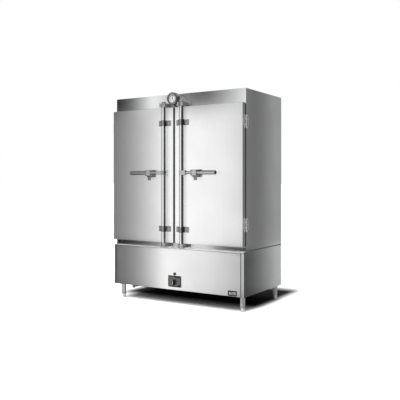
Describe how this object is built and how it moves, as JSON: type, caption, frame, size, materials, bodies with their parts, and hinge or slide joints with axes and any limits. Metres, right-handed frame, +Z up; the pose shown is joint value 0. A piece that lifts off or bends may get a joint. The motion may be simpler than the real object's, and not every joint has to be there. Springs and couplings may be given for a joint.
{
  "type": "rice steamer cabinet",
  "caption": "Free-standing steel steaming cabinet with double doors, full-height lock rods and levers, a header gauge, tray racks, a water tank with heaters in the base, and screw feet.",
  "frame": {"origin": "on the floor, under the middle of the object's box", "axes": "+Z up, +X to the right as the doors are faced, +Y from the doors to the back"},
  "size_m": [1.393, 0.8481, 1.8665],
  "materials": {
    "brushed_steel": "satin",
    "polished_steel": "gloss",
    "inner_steel": "satin",
    "insulation": "matte",
    "seal_rubber": "matte",
    "black_plastic": "satin",
    "grey_plate": "satin",
    "lamp_green": "gloss",
    "dial_white": "matte",
    "needle_black": "matte",
    "clear_glass": "gloss",
    "brass_fitting": "satin"
  },
  "bodies": {
    "cabinet": {"access_panel": "brushed_steel", "back_panel": "brushed_steel", "base_casing": "brushed_steel", "base_floor": "brushed_steel", "base_top_frame": "brushed_steel", "cabinet_hinge_leaves": "polished_steel", "cable_gland": "black_plastic", "cam_keepers": "polished_steel", "centre_partition": "inner_steel", "chamber_floor": "inner_steel", "chamber_liner": "inner_steel", "contactor": "grey_plate", "control_plate": "grey_plate", "drain_valve": "brass_fitting", "float_valve": "brass_fitting", "foot_sleeves": "polished_steel", "front_frame": "brushed_steel", "gauge_case": "polished_steel", "gauge_dial": "dial_white", "gauge_glass": "clear_glass", "heating_elements": "inner_steel", "panel_screws": "polished_steel", "pilot_lamp": "lamp_green", "roof_panel": "brushed_steel", "selector_switch": "black_plastic", "side_panel_left": "brushed_steel", "side_panel_right": "brushed_steel", "steam_baffles": "inner_steel", "steam_trays": "inner_steel", "tray_rack_left": "inner_steel", "tray_rack_right": "inner_steel", "vent_pipes": "inner_steel", "wall_insulation": "insulation", "water_tank": "inner_steel"},
    "door_left": {"door_skin_left": "brushed_steel", "door_inner_pan_left": "inner_steel", "door_core_left": "insulation", "door_gasket_left": "seal_rubber", "door_brackets_left": "polished_steel", "door_hinge_leaves_left": "polished_steel"},
    "lock_left": {"lock_rod_left": "polished_steel", "lever_left": "polished_steel"},
    "catch_left": {"catch_tongue_left": "polished_steel"},
    "door_right": {"door_skin_right": "brushed_steel", "door_inner_pan_right": "inner_steel", "door_core_right": "insulation", "door_gasket_right": "seal_rubber", "door_brackets_right": "polished_steel", "door_hinge_leaves_right": "polished_steel"},
    "lock_right": {"lock_rod_right": "polished_steel", "lever_right": "polished_steel"},
    "catch_right": {"catch_tongue_right": "polished_steel"},
    "knob": {"selector_knob": "black_plastic"},
    "needle": {"gauge_needle": "needle_black"},
    "float": {"float_arm": "inner_steel"},
    "drain_handle": {"drain_lever": "polished_steel"},
    "foot_front_left": {"foot_front_left": "polished_steel"},
    "foot_front_right": {"foot_front_right": "polished_steel"},
    "foot_back_left": {"foot_back_left": "polished_steel"},
    "foot_back_right": {"foot_back_right": "polished_steel"}
  },
  "joints": [
    {"name": "door_left_hinge", "type": "hinge", "parent": "cabinet", "child": "door_left", "pos_m": [-0.691, -0.32225, 1.156], "axis": [0, 0, -1], "range_deg": [0, 180]},
    {"name": "lock_left_turn", "type": "hinge", "parent": "door_left", "child": "lock_left", "pos_m": [-0.094, -0.39025, 1.164], "axis": [0, 0, 1], "range_deg": [0, 90]},
    {"name": "catch_left_swing", "type": "hinge", "parent": "door_left", "child": "catch_left", "pos_m": [-0.243, -0.40025, 1.132], "axis": [-1, 0, 0], "range_deg": [0, 80]},
    {"name": "door_right_hinge", "type": "hinge", "parent": "cabinet", "child": "door_right", "pos_m": [0.691, -0.32225, 1.156], "axis": [0, 0, 1], "range_deg": [0, 180]},
    {"name": "lock_right_turn", "type": "hinge", "parent": "door_right", "child": "lock_right", "pos_m": [0.094, -0.39025, 1.164], "axis": [0, 0, -1], "range_deg": [0, 90]},
    {"name": "catch_right_swing", "type": "hinge", "parent": "door_right", "child": "catch_right", "pos_m": [0.243, -0.40025, 1.132], "axis": [-1, 0, 0], "range_deg": [0, 80]},
    {"name": "knob_turn", "type": "hinge", "parent": "cabinet", "child": "knob", "pos_m": [-0.004, -0.35545, 0.204], "axis": [0, 1, 0], "range_deg": [0, 180]},
    {"name": "needle_turn", "type": "hinge", "parent": "cabinet", "child": "needle", "pos_m": [0, -0.38825, 1.813], "axis": [0, 1, 0], "range_deg": [-135, 135]},
    {"name": "float_swing", "type": "hinge", "parent": "cabinet", "child": "float", "pos_m": [-0.08, 0.20655, 0.47], "axis": [-1, 0, 0], "range_deg": [0, 12]},
    {"name": "drain_handle_turn", "type": "hinge", "parent": "cabinet", "child": "drain_handle", "pos_m": [-0.54, -0.24625, 0.108], "axis": [-1, 0, 0], "range_deg": [0, 90]},
    {"name": "foot_front_left_screw", "type": "slide", "parent": "cabinet", "child": "foot_front_left", "axis": [0, 0, -1], "range_m": [0, 0.025]},
    {"name": "foot_front_right_screw", "type": "slide", "parent": "cabinet", "child": "foot_front_right", "axis": [0, 0, -1], "range_m": [0, 0.025]},
    {"name": "foot_back_left_screw", "type": "slide", "parent": "cabinet", "child": "foot_back_left", "axis": [0, 0, -1], "range_m": [0, 0.025]},
    {"name": "foot_back_right_screw", "type": "slide", "parent": "cabinet", "child": "foot_back_right", "axis": [0, 0, -1], "range_m": [0, 0.025]}
  ]
}
